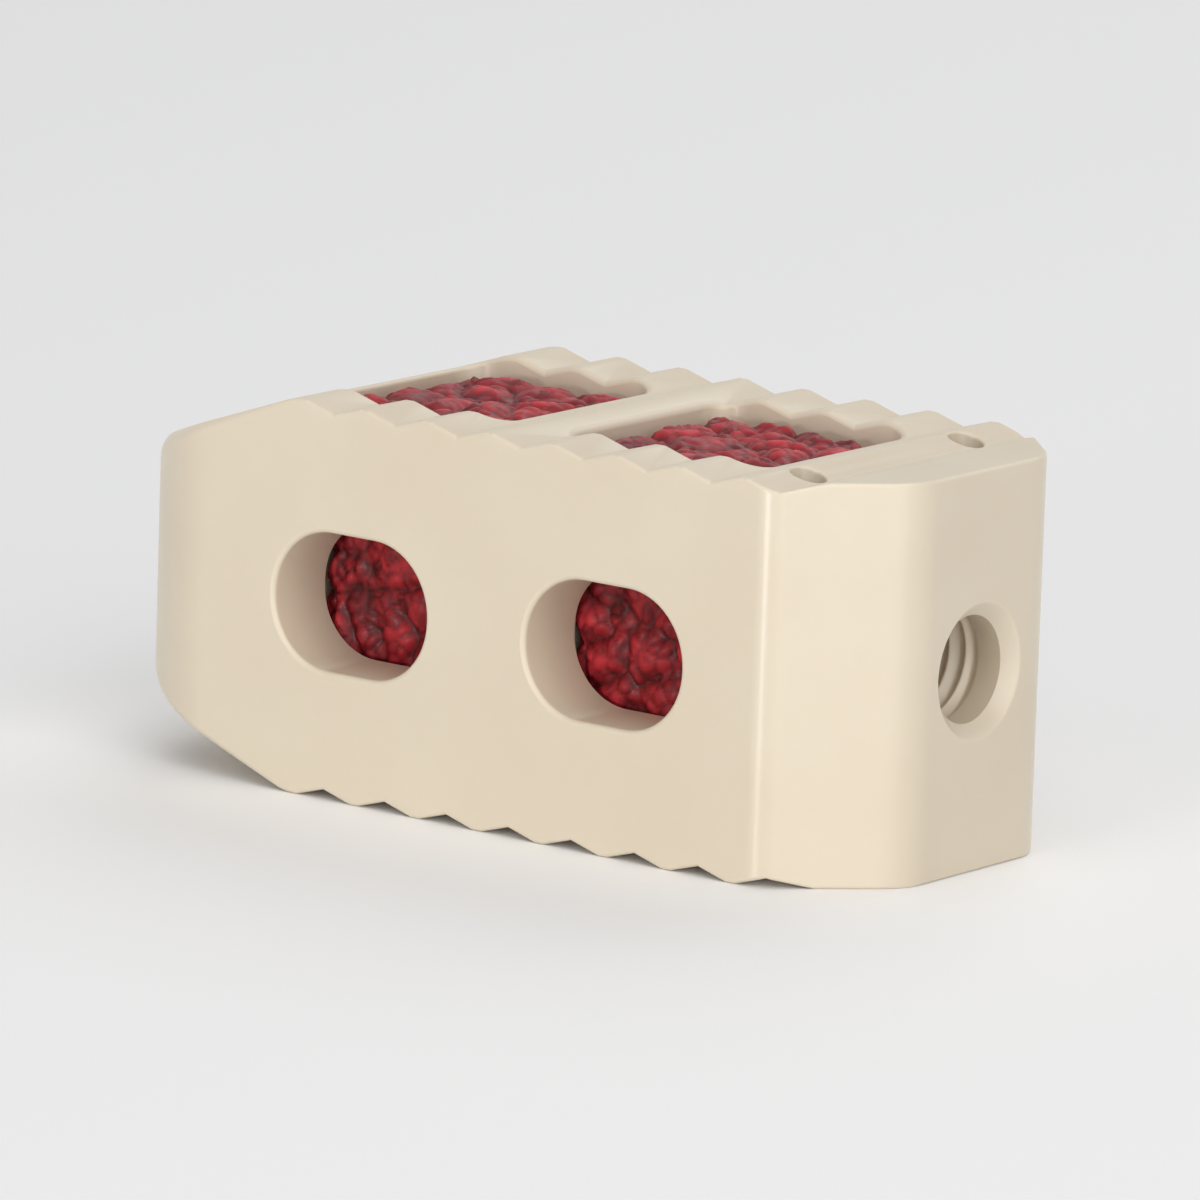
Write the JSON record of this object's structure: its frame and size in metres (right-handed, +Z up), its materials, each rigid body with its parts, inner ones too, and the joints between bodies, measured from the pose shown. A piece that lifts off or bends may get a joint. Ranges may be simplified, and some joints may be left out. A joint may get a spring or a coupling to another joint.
{
  "type": "spinal interbody cage",
  "caption": "Bullet-nosed, toothed spinal interbody cage of pale plastic, with side windows, a bore for its inserter, packed bone graft and X-ray marker pins.",
  "frame": {"origin": "middle of the underside, in the plane of the lower teeth's crests, at mid-length and mid-width", "axes": "+X from the rounded nose towards the inserter end face, +Y across to the side away from the pictured one, +Z up from the lower teeth to the upper teeth"},
  "size_m": [0.0232, 0.0104, 0.01],
  "materials": {
    "peek": "natural cream PEEK, finely machined, satin",
    "bone_graft": "packed bone graft granules soaked dark red, moist",
    "tantalum": "grey tantalum wire, cut and deburred"
  },
  "bodies": {
    "root": {"cage_body": "peek", "graft_front": "bone_graft", "graft_rear": "bone_graft", "marker_pin_nose": "tantalum", "marker_pin_rear_left": "tantalum", "marker_pin_rear_right": "tantalum"}
  },
  "joints": []
}
